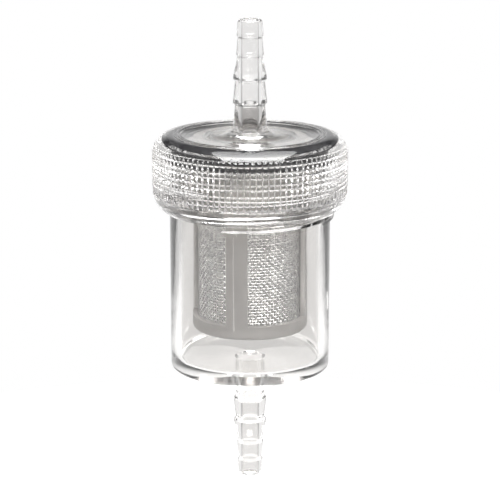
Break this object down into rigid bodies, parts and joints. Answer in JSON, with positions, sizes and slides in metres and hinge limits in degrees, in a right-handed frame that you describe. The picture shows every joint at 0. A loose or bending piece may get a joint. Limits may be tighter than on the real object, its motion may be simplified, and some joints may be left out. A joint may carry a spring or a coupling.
{
  "type": "fuel filter",
  "caption": "Clear in-line fuel filter: bowl and knurled screw cap with stepped hose barbs, ring seal and removable mesh strainer.",
  "frame": {"origin": "centre of the outlet barb's tip, where the fuel line that carries the filter is pushed on", "axes": "+Z along the filter's axis from the outlet tip to the inlet tip; X and Y across it, +Y towards the back"},
  "size_m": [0.0446, 0.0446, 0.1073],
  "materials": {
    "clear_bowl": "clear polished moulding",
    "clear_cap": "clear polished moulding, knurled skirt",
    "seal_rubber": "satin black nitrile",
    "cage_plastic": "milky grey moulding",
    "mesh_steel": "plain woven stainless wire",
    "collar_plastic": "milky grey moulding"
  },
  "bodies": {
    "bowl": {"bowl": "clear_bowl"},
    "rim_seal": {"rim_seal": "seal_rubber"},
    "cap": {"cap": "clear_cap"},
    "strainer": {"strainer_cage": "cage_plastic", "strainer_mesh": "mesh_steel", "strainer_collar": "collar_plastic"}
  },
  "joints": [
    {"name": "cap_rise", "type": "slide", "parent": "bowl", "child": "rim_seal", "axis": [0, 0, 1], "range_m": [0, 0.00565]},
    {"name": "cap_turn", "type": "hinge", "parent": "rim_seal", "child": "cap", "pos_m": [0, 0, 0.0765], "axis": [0, 0, 1], "range_deg": [0, 815]},
    {"name": "strainer_pull", "type": "slide", "parent": "cap", "child": "strainer", "axis": [0, 0, -1], "range_m": [0, 0.0065]}
  ],
  "couplings": [
    {"joint": "cap_turn", "follows": "cap_rise", "rad_per_m": 2513.3}
  ]
}
